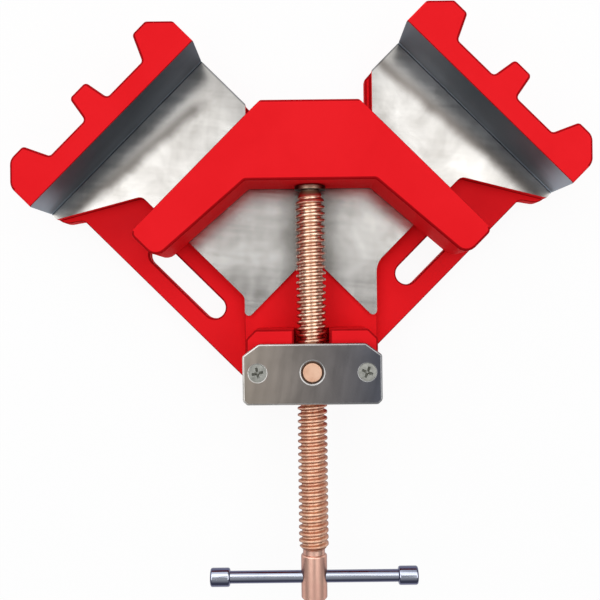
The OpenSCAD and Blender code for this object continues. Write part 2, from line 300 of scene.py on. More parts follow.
class Skin(Wiring):
    """The wiring of one material, with the shared effects and the piece's own coordinates."""

    def __init__(self, name: str, effects: Effects) -> None:
        """Starts a material.

        Args:
            name: Name of the material.
            effects: The shared node groups.
        """
        self.material = bpy.data.materials.new(name)
        self.material.use_nodes = True
        super().__init__(self.material.node_tree)
        self.effects = effects
        self.place = self.add("ShaderNodeTexCoord").outputs["Object"]

    def clouds(self, scale: float) -> Socket:
        """Puts out soft clouds from 0 to 1."""
        feeds = {"Vector": self.place, "Scale": scale}
        return self.add("ShaderNodeGroup", feeds, node_tree=self.effects.tone).outputs[0]

    def strokes(self, stretch: Colour, turn: float) -> Socket:
        """Puts out tool strokes from 0 to 1, turned by some degrees."""
        feeds = {"Vector": self.place, "Stretch": stretch, "Turn": math.radians(turn)}
        return self.add("ShaderNodeGroup", feeds, node_tree=self.effects.strokes).outputs[0]

    def relief(self, height: Socket, depth: float, strength: float = 1.0) -> Socket:
        """Puts out the normals of a relief."""
        feeds = {"Height": height, "Distance": depth, "Strength": strength}
        return self.add("ShaderNodeBump", feeds).outputs[0]

    def dressed(self, surface: dict[str, Any]) -> bpy.types.Material:
        """Gives the material its shader.

        Args:
            surface: What the shader takes, by the names of its inputs.

        Returns:
            The finished material.
        """
        shader = self.add("ShaderNodeBsdfPrincipled", surface)
        self.add("ShaderNodeOutputMaterial", {"Surface": shader.outputs[0]})
        return self.material


@dataclass(frozen=True)
class FlatFace:
    """A machined plane."""

    point: Vector
    outward: Vector

    def holds(self, face: Face) -> bool:
        """Says whether a face lies in the plane and looks the same way."""
        off = self.outward.dot(face.calc_center_median() - self.point)
        return face.normal.dot(self.outward) > ALIGNED and abs(off) < ON_PLANE


def flat_mount(name: str) -> FlatFace:
    """Finds a flat face that the record names."""
    mount = next(m for m in frame["record"]["mounts"] if m["name"] == name)
    return FlatFace(Vector(mount["pos_m"]), Vector(mount["axis"]))


@dataclass(frozen=True)
class FixedWall:
    """One of the base's two fixed walls, with the line along its foot."""

    face: FlatFace
    along: Vector
    near: float
    far: float

    def run(self, skin: Skin) -> Socket:
        """Puts out how far a spot lies along the wall from the middle of the wall."""
        return skin.dot(skin.less(skin.place, self.face.point), self.along)

    def off(self, skin: Skin, slope: float) -> Socket:
        """Puts out how far a spot lies from a line that draws away from the wall by a slope."""
        return skin.dot(skin.less(skin.place, self.face.point), self.face.outward - slope * self.along)

    def own_half(self, skin: Skin) -> Socket:
        """Puts out 1 on the wall's own half of the base and 0 on the other."""
        own_way = ACROSS * math.copysign(1.0, self.face.point.x)
        return skin.rise(skin.dot(skin.place, own_way), 0.0, HALF_BLEND)


def fixed_wall(side: str) -> FixedWall:
    """Finds a fixed wall and how far it runs each way.

    Args:
        side: The word left or right.

    Returns:
        The wall, whose line runs towards the open corner.
    """
    face = flat_mount(f"{side}_fixed_face")
    along = UP.cross(face.outward)
    along *= math.copysign(1.0, along.y)
    spots = [v.co - face.point for v in frame["nodes"]["base_casting"].data.vertices]
    reach = [along.dot(s) for s in spots if abs(face.outward.dot(s)) < ON_PLANE]
    return FixedWall(face, along, min(reach), max(reach))


@dataclass(frozen=True)
class Coat(ABC):
    """A finish, made as one material."""

    name: str

    @abstractmethod
    def surface(self, skin: Skin) -> dict[str, Any]:
        """Works out what the shader takes, by the names of its inputs."""

    def material(self, effects: Effects) -> bpy.types.Material:
        """Builds the material from the shared effects."""
        skin = Skin(self.name, effects)
        return skin.dressed(self.surface(skin))


@dataclass(frozen=True)
class Enamel(Coat):
    """Sprayed enamel over a casting's rough skin."""

    full: Colour
    thin: Colour
    gloss: Span = (0.45, 0.58)
    shine: float = 0.006
    cloud_scale: float = 28.0
    skin_scale: float = 900.0
    skin_detail: float = 3.0
    skin_depth: float = 0.0001
    skin_strength: float = 0.6
    swell_ratio: float = 7.0
    swell_detail: float = 1.0
    swell_height: float = 2.5

    def surface(self, skin: Skin) -> dict[str, Any]:
        """Works out the paint.

        Args:
            skin: The material's wiring.

        Returns:
            What the shader takes, by the names of its inputs.
        """
        grain = skin.noise(skin.place, self.skin_scale, self.skin_detail)
        swell = skin.noise(skin.place, self.skin_scale / self.swell_ratio, self.swell_detail)
        height = skin.sum_up("MULTIPLY_ADD", swell, self.swell_height, grain)
        tone = skin.clouds(self.cloud_scale)
        return {"Base Color": skin.blend(tone, opaque(self.thin), opaque(self.full)),
                "Roughness": skin.spread(grain, *NOISE_SPAN, *self.gloss),
                "Specular IOR Level": self.shine,
                "Normal": skin.relief(height, self.skin_depth, self.skin_strength)}


@dataclass(frozen=True)
class BareSteel(Coat):
    """Steel with the strokes of the tool that cut it."""

    bright: Colour
    dull: Colour
    rough: Span
    stretch: Colour
    cloud_scale: float
    stroke_share: float
    groove: float
    turn: float = 0.0
    cross_turn: float = 90.0
    cross_share: float = 0.0
    edge_tint: float = 1.0
    # Tint for the right half: painted light and shade, darker on some finishes, brighter on others.
    right_light_tint: Colour = WHITE
    right_light_reach: float = 0.03

    def streaks(self, skin: Skin) -> Socket:
        """Lays the tool's strokes, with a second set across them where the finish has one.

        Args:
            skin: The material's wiring.

        Returns:
            A mask from 0 to 1.
        """
        along = skin.strokes(self.stretch, self.turn)
        if not self.cross_share:
            return along
        across = skin.strokes(self.stretch, self.turn + self.cross_turn)
        kept = skin.sum_up("MULTIPLY", along, 1.0 - self.cross_share)
        return skin.sum_up("MULTIPLY_ADD", across, self.cross_share, kept)

    def painted_light_and_shade(self, skin: Skin, tone: Socket, colour: Socket) -> Socket:
        """Paints light and shade onto a clean colour. Plain steel gets none."""
        return colour

    def surface(self, skin: Skin) -> dict[str, Any]:
        """Works out the steel.

        Args:
            skin: The material's wiring.

        Returns:
            What the shader takes, by the names of its inputs.
        """
        streaks = self.streaks(skin)
        tone = skin.clouds(self.cloud_scale)
        marks = skin.sum_up("MULTIPLY", streaks, self.stroke_share)
        mask = skin.sum_up("MULTIPLY_ADD", tone, 1.0 - self.stroke_share, marks)
        colour = skin.blend(mask, opaque(self.dull), opaque(self.bright))
        # Painted light and shade: the right half of the piece takes the right tint.
        right = skin.rise(skin.dot(skin.place, ACROSS), -self.right_light_reach, self.right_light_reach)
        colour = skin.tinted(right, colour, self.right_light_tint)
        return {"Base Color": self.painted_light_and_shade(skin, tone, colour), "Metallic": 1.0,
                "Roughness": skin.spread(streaks, 0.0, 1.0, *self.rough),
                "Specular Tint": opaque((self.edge_tint, self.edge_tint, self.edge_tint)),
                "Normal": skin.relief(streaks, self.groove)}


@dataclass(frozen=True)
class WallShadeBand:
    """A darker band along one wall, painted shade of the wall on the floor beside it."""

    side: str
    away: float
    slope: float
    half: float
    stop: float
    tint: Colour


@dataclass(frozen=True)
class ShadedFloorSteel(BareSteel):
    """A milled floor with painted shade: a darker band along each wall, darker ends with a dark line at the
    very end, and a painted shadow under and beside the spindle.
    """

    # Darker bands along the walls: painted shade on the floor.
    shade_bands: tuple[WallShadeBand, ...] = (
        WallShadeBand("left", away=0.0115, slope=0.08, half=0.0058, stop=0.01, tint=(0.38, 0.365, 0.355)),
        WallShadeBand("right", away=0.0095, slope=0.08, half=0.0055, stop=-0.01, tint=(0.46, 0.435, 0.42)),
    )
    band_sway: float = 0.0018
    band_fade: float = 0.01
    # Darker floor ends and a thin dark line at the very end: painted shade.
    end_shade_reach: float = 0.016
    end_shade_tint: Colour = (0.68, 0.68, 0.68)
    rim_shade_reach: float = 0.0011
    rim_shade_tint: Colour = (0.26, 0.27, 0.3)
    # A darker strip under and beside the spindle: painted shadow.
    spindle_shadow_span: Span = (0.006, 0.02)
    spindle_shadow_tint: Colour = (0.48, 0.475, 0.465)

    def painted_light_and_shade(self, skin: Skin, tone: Socket, colour: Socket) -> Socket:
        """Paints shade: darkens the colour in a band along each wall, at the floor's ends and under and
        beside the spindle.

        Args:
            skin: The material's wiring.
            tone: Soft clouds from 0 to 1.
            colour: The clean colour.

        Returns:
            The colour with its painted shade.
        """
        sway = skin.spread(tone, 0.0, 1.0, -self.band_sway / 2, self.band_sway / 2)
        # A darker band along each wall: painted shade.
        for band in self.shade_bands:
            wall = fixed_wall(band.side)
            off = skin.sum_up("ADD", wall.off(skin, band.slope), sway)
            beside = skin.sum_up("ABSOLUTE", skin.sum_up("SUBTRACT", off, band.away))
            to_end = skin.sum_up("SUBTRACT", wall.far, wall.run(skin))
            kept = skin.rise(to_end, band.stop, band.stop + self.band_fade)
            share = skin.sum_up("MULTIPLY", kept, skin.fade(beside, 0.0, band.half))
            colour = skin.tinted(share, colour, band.tint)
            own = wall.own_half(skin)
            # Darker floor ends and a thin dark line at the very end: painted shade.
            for reach, tint in ((self.end_shade_reach, self.end_shade_tint), (self.rim_shade_reach, self.rim_shade_tint)):
                share = skin.sum_up("MULTIPLY", skin.fade(to_end, 0.0, reach), own)
                colour = skin.tinted(share, colour, tint)
        # A darker strip under and beside the spindle: painted shadow.
        beside = skin.sum_up("ABSOLUTE", skin.dot(skin.place, ACROSS))
        return skin.tinted(skin.fade(beside, *self.spindle_shadow_span), colour, self.spindle_shadow_tint)


@dataclass(frozen=True)
class GroundSteel(BareSteel):
    """A ground wall with painted light: brighter towards its mouth."""

    # Brighter towards each wall's mouth: painted light.
    mouth_light_reach: float = 0.02
    mouth_light_tint: Colour = (2.2, 2.2, 2.15)

    def painted_light_and_shade(self, skin: Skin, tone: Socket, colour: Socket) -> Socket:
        """Paints light: brightens the colour towards the mouth of each wall.

        Args:
            skin: The material's wiring.
            tone: Soft clouds from 0 to 1.
            colour: The clean colour.

        Returns:
            The colour with its wear.
        """
        for side in SIDES:
            wall = fixed_wall(side)
            from_mouth = skin.sum_up("SUBTRACT", wall.run(skin), wall.near)
            near = skin.fade(from_mouth, 0.0, self.mouth_light_reach)
            share = skin.sum_up("MULTIPLY", near, wall.own_half(skin))
            # Painted light at the mouth.
            colour = skin.tinted(share, colour, self.mouth_light_tint)
        return colour


@dataclass(frozen=True)
class Plating(Coat):
    """A thin bright coat of another metal, a little hazy in places, with a painted dark reflection where it
    turns away from the view.
    """

    bright: Colour
    hazy: Colour
    # Dark colour where the surface turns away from the view: painted reflection of a dark room.
    edge: Colour
    grazing_shade_span: Span
    rough: Span
    haze_scale: float = 140.0
    grain_ratio: float = 12.0
    grain_detail: float = 2.0
    grain_depth: float = 0.00001
    rear_tint: Colour = WHITE
    rear_rough: float = 0.0
    rear_span: Span = (0.02, -0.03)

    def surface(self, skin: Skin) -> dict[str, Any]:
        """Works out the plating.

        Args:
            skin: The material's wiring.

        Returns:
            What the shader takes, by the names of its inputs.
        """
        tone = skin.clouds(self.haze_scale)
        grain = skin.noise(skin.place, self.haze_scale * self.grain_ratio, self.grain_detail)
        colour = skin.blend(tone, opaque(self.hazy), opaque(self.bright))
        # Painted reflection: the colour goes dark where the surface turns away from the view.
        facing = skin.add("ShaderNodeLayerWeight").outputs["Facing"]
        colour = skin.blend(skin.rise(facing, *self.grazing_shade_span), colour, opaque(self.edge))
        rough = skin.spread(tone, 0.0, 1.0, self.rough[1], self.rough[0])
        if self.rear_rough:
            rear = skin.rise(skin.dot(skin.place, ALONG), *self.rear_span)
            colour = skin.tinted(rear, colour, self.rear_tint)
            rough = skin.sum_up("MULTIPLY_ADD", rear, self.rear_rough, rough)
        return {"Base Color": colour, "Roughness": rough, "Metallic": 1.0,
                "Normal": skin.relief(grain, self.grain_depth)}


class Finish(Enum):
    """The finishes of the clamp."""

    RED_ENAMEL = Enamel("red_enamel", (0.82, 0.0145, 0.02), (0.78, 0.012, 0.017))
    # Darker enamel for the rounded cast edges: painted shade on the rounds.
    EDGE_SHADE_ENAMEL = Enamel("edge_shade_enamel", (0.42, 0.005, 0.008), (0.34, 0.004, 0.006))
    # The milled floor carries painted shade along its walls, at its ends and by the spindle.
    MILLED_FLOOR = ShadedFloorSteel("milled_floor", (0.73, 0.71, 0.68), (0.38, 0.36, 0.335), (0.18, 0.28),
                               stretch=(24.0, 420.0, 24.0), turn=6.0, cross_share=0.3, cloud_scale=48.0,
                               stroke_share=0.35, groove=0.0)
    # The ground walls carry painted light: brighter at their mouths and on the right wall.
    GROUND_FACE = GroundSteel("ground_face", (0.19, 0.215, 0.245), (0.15, 0.17, 0.20), (0.46, 0.56),
                              stretch=(60.0, 60.0, 900.0), cloud_scale=24.0, stroke_share=0.4,
                              groove=0.00001, edge_tint=0.5, right_light_tint=(1.25, 1.22, 1.2))
    # The plate's right half is painted darker and bluer: painted shade.
    PLATE_STEEL = BareSteel("plate_steel", (0.41, 0.352, 0.30), (0.285, 0.245, 0.207), (0.3, 0.38),
                            stretch=(300.0, 40.0, 300.0), turn=12.0, cloud_scale=38.0, stroke_share=0.25,
                            groove=0.000005, right_light_tint=(0.29, 0.35, 0.49))
    CUT_STEEL = BareSteel("cut_steel", (0.72, 0.69, 0.66), (0.56, 0.54, 0.51), (0.22, 0.32),
                          stretch=(200.0, 200.0, 200.0), cloud_scale=120.0, stroke_share=0.3,
                          groove=0.000004, right_light_tint=(0.5, 0.52, 0.56))
    SCREW_STEEL = BareSteel("screw_steel", (0.46, 0.46, 0.42), (0.30, 0.30, 0.27), (0.3, 0.42),
                            stretch=(500.0, 500.0, 500.0), cloud_scale=180.0, stroke_share=0.4,
                            groove=0.00001)
    DARK_STEEL = Plating("dark_steel", (0.44, 0.30, 0.22), (0.30, 0.20, 0.14), (0.03, 0.026, 0.022),
                         (0.04, 0.4), (0.34, 0.46))
    COPPER_PLATE = Plating("copper_plate", (1.0, 0.77, 0.59), (0.88, 0.57, 0.42), (0.24, 0.09, 0.065),
                           (0.25, 0.85), (0.25, 0.36), rear_tint=(1.0, 0.86, 0.80), rear_rough=0.16)
    HEAD_COPPER = Plating("head_copper", (0.97, 0.60, 0.47), (0.88, 0.49, 0.39), (0.30, 0.12, 0.09),
                          (0.2, 0.8), (0.32, 0.42))
    PIVOT_COPPER = Plating("pivot_copper", (0.82, 0.54, 0.39), (0.74, 0.46, 0.32), (0.5, 0.3, 0.2),
                           (0.4, 0.95), (0.5, 0.62), haze_scale=180.0)
    BLUE_ZINC = Plating("blue_zinc", (0.66, 0.69, 0.78), (0.56, 0.59, 0.70), (0.115, 0.12, 0.20),
                        (0.03, 0.2), (0.08, 0.14), haze_scale=90.0, grain_depth=0.000003)


class FinishShelf:
    """Every finish as a material, made once."""

    def __init__(self) -> None:
        """Builds the shared effects and all the materials."""
        effects = Effects()
        self.made = {finish: finish.value.material(effects) for finish in Finish}

    def take(self, *finishes: Finish) -> list[bpy.types.Material]:
        """Gives the materials of these finishes, in order."""
        return [self.made[finish] for finish in finishes]


def welded_copy(node: str) -> Solid:
    """Copies a CAD node's mesh, merges its points and joins its flat faces.

    Args:
        node: Name of the CAD node.

    Returns:
        The copy, closed and with its faces pointing out.
    """
    solid = bmesh.new()
    solid.from_mesh(frame["nodes"][node].data)
    bmesh.ops.remove_doubles(solid, verts=solid.verts[:], dist=TINY)
    bmesh.ops.dissolve_degenerate(solid, dist=WELD, edges=solid.edges[:])
    bmesh.ops.dissolve_limit(solid, angle_limit=FLAT_ANGLE, verts=solid.verts[:], edges=solid.edges[:])
    solid.normal_update()
    return solid


def keep_inside(solid: Solid) -> None:
    """Brings points that a rounding pushed out of the CAD model's box back to its sides.

    Args:
        solid: The mesh.
    """
    for point in solid.verts:
        for i in range(3):
            point.co[i] = min(max(point.co[i], CAD_LOW[i]), CAD_HIGH[i])


def sharp_edges(solid: Solid, wanted: EdgeTest) -> list[Edge]:
    """Picks the sharp edges that a test wants."""
    return [e for e in solid.edges if e.is_manifold and e.calc_face_angle() > SHARP_ANGLE and wanted(e)]


def middle(edge: Edge) -> Vector:
    """Gives the middle of an edge."""
    return (edge.verts[0].co + edge.verts[1].co) / 2


def chains(edges: list[Edge]) -> list[list[Edge]]:
    """Sorts edges into chains that touch.

    Args:
        edges: The edges.

    Returns:
        One list of edges for each chain.
    """
    left = set(edges)
    found = []
    for edge in edges:
        if edge not in left:
            continue
        left.remove(edge)
        chain = [edge]
        for known in chain:
            touching = [e for v in known.verts for e in v.link_edges if e in left]
            left.difference_update(touching)
            chain.extend(dict.fromkeys(touching))
        found.append(chain)
    return found


def round_off(solid: Solid, edges: list[Edge], width: float, steps: int = 1,
              clamp: bool = True) -> list[Face]:
    """Rounds edges, or chamfers them in one step, chain by chain so that a tight chain limits only itself.

    Args:
        solid: The mesh.
        edges: Edges to round.
        width: How far the round reaches from the edge.
        steps: Faces across the round.
        clamp: Whether the width gives way where room is short.

    Returns:
        The new faces.
    """
    faces = []
    for chain in chains(edges):
        made = bmesh.ops.bevel(solid, geom=[e for e in chain if e.is_valid], offset=width,
                               offset_type="OFFSET", segments=steps, profile=EVEN_ROUND, affect="EDGES",
                               clamp_overlap=clamp)
        faces += made["faces"]
    return faces


def mark(faces: Iterable[Face], number: int) -> None:
    """Gives the faces that still exist a material number.

    Args:
        faces: Faces, of which later cuts may have removed some.
        number: The material number.
    """
    for face in faces:
        if face.is_valid:
            face.material_index = number


def merged_mesh(solid: Solid, name: str) -> Mesh:
    """Turns a working mesh into one with smooth faces and sharp edges.

    Args:
        solid: The working mesh, which is freed.
        name: Name of the new mesh.

    Returns:
        The new mesh.
    """
    keep_inside(solid)
    solid.normal_update()
    for face in solid.faces:
        face.smooth = True
    for edge in solid.edges:
        edge.smooth = edge.is_manifold and edge.calc_face_angle() < SHARP_ANGLE
    mesh = bpy.data.meshes.new(name)
    solid.to_mesh(mesh)
    solid.free()
    return mesh


def applied(thing: bpy.types.Object) -> Mesh:
    """Makes a plain mesh of an object with its modifiers, and takes the modifiers off it.

    Args:
        thing: An object in the scene.

    Returns:
        The new mesh.
    """
    graph = bpy.context.evaluated_depsgraph_get()
    mesh = bpy.data.meshes.new_from_object(thing.evaluated_get(graph))
    thing.modifiers.clear()
    return mesh


def grown_mesh(tree: bpy.types.NodeTree, sizes: dict[str, Any]) -> Mesh:
    """Runs a Geometry Nodes tree once.

    Args:
        tree: The tree.
        sizes: Its inputs by name.

    Returns:
        The result as a plain mesh, merged and with its faces pointing out.
    """
    holder = bpy.data.objects.new(tree.name, bpy.data.meshes.new(tree.name))
    modifier = holder.modifiers.new(tree.name, "NODES")
    modifier.node_group = tree
    for item in tree.interface.items_tree:
        if item.in_out == "INPUT" and item.name in sizes:
            modifier[item.identifier] = sizes[item.name]
    bpy.context.scene.collection.objects.link(holder)
    mesh = applied(holder)
    bpy.data.objects.remove(holder)
    solid = bmesh.new()
    solid.from_mesh(mesh)
    bmesh.ops.remove_doubles(solid, verts=solid.verts[:], dist=WELD)
    bmesh.ops.recalc_face_normals(solid, faces=solid.faces[:])
    solid.to_mesh(mesh)
    solid.free()
    mesh.shade_smooth()
    mesh.set_sharp_from_angle(angle=SHARP_ANGLE)
    return mesh


def united(first: Mesh, others: list[Mesh]) -> Mesh:
    """Unites closed meshes into one.

    Args:
        first: The mesh that takes the others.
        others: Meshes that overlap it.

    Returns:
        The united mesh.
    """
    things = [bpy.data.objects.new("united", mesh) for mesh in (first, *others)]
    for thing in things:
        bpy.context.scene.collection.objects.link(thing)
    for tool in things[1:]:
        modifier = things[0].modifiers.new("unite", "BOOLEAN")
        modifier.operation = "UNION"
        modifier.solver = "MANIFOLD"
        modifier.object = tool
    mesh = applied(things[0])
    for thing in things:
        bpy.data.objects.remove(thing)
    return mesh


@dataclass
class SubAssembly:
    """Pieces of the clamp that are made together."""

    shelf: FinishShelf

    def place(self, name: str, mesh: Mesh, finishes: list[Finish], body: str, slot: str,
              *nodes: str) -> bpy.types.Object:
        """Puts a finished mesh into the scene as a piece.

        Args:
            name: Name of the piece.
            mesh: Its mesh, in the CAD's frame.
            finishes: Its finishes, in the order of its faces' material numbers.
            body: The CAD body that it rides on.
            slot: The record's material slot, which is not used.
            nodes: The CAD nodes that it replaces.

        Returns:
            The piece.
        """
        mesh.name = name
        if mesh.materials:
            mesh.materials.clear()
        for material in self.shelf.take(*finishes):
            mesh.materials.append(material)
        piece = bpy.data.objects.new(name, mesh)
        bpy.context.scene.collection.objects.link(piece)
        even = piece.modifiers.new("even_normals", "WEIGHTED_NORMAL")
        even.keep_sharp = True
        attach(piece, body)
        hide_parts(*nodes)
        LOG.info("%s: %d faces, rides on %s", name, len(mesh.polygons), body)
        return piece


@dataclass
class Casting(SubAssembly):
    """A painted casting with a few machined faces."""

    cast_round: float = 0.0011
    cast_steps: int = 3
    machined_break: float = 0.0003
    zone_margin: float = 0.002

    def quiet(self, edge: Edge, zones: list[Box]) -> bool:
        """Says whether an edge lies over a zone whose drilled edges stay as they are.

        Args:
            edge: An edge of the casting.
            zones: Boxes, of which only the outline from above counts.

        Returns:
            Whether one of them, with a margin, has the whole edge.
        """
        for low, high in zones:
            reach = [(low[i] - self.zone_margin, high[i] + self.zone_margin) for i in (0, 1)]
            if all(a < v.co[i] < b for i, (a, b) in enumerate(reach) for v in edge.verts):
                return True
        return False

    def lies_at(self, edge: Edge, height: float) -> bool:
        """Says whether a whole edge lies at a height."""
        return all(abs(v.co.z - height) < ON_PLANE for v in edge.verts)

    def heights(self, edges: list[Edge]) -> list[float]:
        """Lists the heights at which level edges lie, from the top down.

        Args:
            edges: Edges of the casting.

        Returns:
            The heights, each once.
        """
        found = []
        for edge in edges:
            height = edge.verts[0].co.z
            if self.lies_at(edge, height) and all(abs(height - z) > ON_PLANE for z in found):
                found.append(height)
        return sorted(found, reverse=True)

    def finish_edges(self, solid: Solid, planes: list[tuple[FlatFace, Finish]],
                     groove: Callable[[Vector], bool], zones: list[Box]) -> list[Finish]:
        """Rounds the cast edges, breaks the machined ones and gives each face its material number.

        Args:
            solid: The casting's mesh.
            planes: Its machined planes, each with its finish.
            groove: Says whether a spot is in a cut groove, which takes the last plane's finish.
            zones: Boxes over which drilled edges stay sharp.

        Returns:
            The finishes in the order of the material numbers. Rounded cast edges take a darker enamel, which
            is painted shade.
        """
        def machined(face: Face) -> bool:
            """Says whether a face lies in a machined plane."""
            return any(plane.holds(face) for plane, _ in planes)

        def cast(edge: Edge) -> bool:
            """Says whether an edge is as it was cast."""
            bare = any(machined(f) for f in edge.link_faces)
            return not (bare or groove(middle(edge)) or self.quiet(edge, zones))

        def cut(edge: Edge) -> bool:
            """Says whether an edge is an outer one of an upright machined face.

            Args:
                edge: An edge of the casting.

            Returns:
                Whether it is, with room for a chamfer.
            """
            upright = any(machined(f) and abs(f.normal.z) < UPRIGHT for f in edge.link_faces)
            outer = upright and edge.is_convex and not groove(middle(edge))
            beside = [e for v in edge.verts for e in v.link_edges]
            return outer and all(e.calc_length() > self.machined_break for e in beside)

        rounds = []
        for height in self.heights(sharp_edges(solid, cast)):
            level = sharp_edges(solid, lambda e: cast(e) and self.lies_at(e, height))
            rounds += round_off(solid, level, self.cast_round, self.cast_steps)
        rounds += round_off(solid, sharp_edges(solid, cut), self.machined_break)
        finishes = [Finish.RED_ENAMEL, Finish.EDGE_SHADE_ENAMEL, *dict.fromkeys(finish for _, finish in planes)]
        mark(solid.faces, finishes.index(Finish.RED_ENAMEL))
        # The rounds take the darker enamel: painted shade.
        mark(rounds, finishes.index(Finish.EDGE_SHADE_ENAMEL))
        mark([f for f in solid.faces if groove(f.calc_center_median())], finishes.index(planes[-1][1]))
        for plane, finish in planes:
            mark([f for f in solid.faces if plane.holds(f)], finishes.index(finish))
        return finishes


@dataclass
class BaseCasting(Casting):
    """The cast base: two fixed jaws at a right angle, the floor between them and the nut's housing."""

    groove_reach: float = 0.0013
    left_corner: float = 0.0016
    right_corner: float = 0.004
    corner_steps: int = 6
    corner_turn: float = 45.0
    turn_slack: float = 1.0

    def round_corners(self, solid: Solid, floor: float) -> None:
        """Rounds the two inner corners where the floor's edge turns from an arm to the web.

        Args:
            solid: The base's mesh.
            floor: Height of the machined floor.
        """
        def inner_corner(edge: Edge) -> bool:
            """Says whether an edge stands under such a corner.

            Args:
                edge: An edge of the base.

            Returns:
                Whether it is upright, reaches the floor and turns inwards by the right angle.
            """
            ends = [v.co for v in edge.verts]
            upright = (ends[0].xy - ends[1].xy).length < ON_PLANE
            on_floor = abs(max(e.z for e in ends) - floor) < ON_PLANE
            turn_off = abs(math.degrees(edge.calc_face_angle()) - self.corner_turn)
            return upright and on_floor and not edge.is_convex and turn_off < self.turn_slack

        for edge in sharp_edges(solid, inner_corner):
            width = self.left_corner if middle(edge).x < 0 else self.right_corner
            round_off(solid, [edge], width, self.corner_steps)

    def floor_height(self, solid: Solid) -> float:
        """Finds the highest level of the base under the moving jaw.

        Args:
            solid: The base's mesh.

        Returns:
            Height of the machined floor.
        """
        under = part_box("moving_jaw")[0].z
        levels = [f.calc_center_median().z for f in solid.faces if f.normal.z > ALIGNED]
        return max(z for z in levels if z < under)

    def build(self) -> None:
        """Builds the base."""
        solid = welded_copy("base_casting")
        floor = self.floor_height(solid)
        self.round_corners(solid, floor)
        walls = [flat_mount(f"{side}_fixed_face") for side in SIDES]
        planes = [(FlatFace(UP * floor, UP), Finish.MILLED_FLOOR)]
        planes += [(wall, Finish.GROUND_FACE) for wall in walls]

        def groove(spot: Vector) -> bool:
            """Says whether a spot is in the groove along the foot of a wall."""
            near_floor = ON_PLANE < abs(spot.z - floor) < self.groove_reach
            return near_floor and min(abs(w.outward.dot(spot - w.point)) for w in walls) < self.groove_reach

        zones = [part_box(n) for n in ("swivel_nut", "plate_screw_left", "plate_screw_right")]
        finishes = self.finish_edges(solid, planes, groove, zones)
        self.place("base", merged_mesh(solid, "base"), finishes, "base", "red_paint", "base_casting")


@dataclass
class MovingJaw(Casting):
    """The V-shaped moving jaw."""

    def build(self) -> None:
        """Builds the jaw."""
        solid = welded_copy("moving_jaw")
        planes = [(flat_mount(f"{side}_moving_face"), Finish.GROUND_FACE) for side in SIDES]
        finishes = self.finish_edges(solid, planes, lambda spot: False, [])
        self.place("jaw", merged_mesh(solid, "jaw"), finishes, "jaw", "red_paint", "moving_jaw")


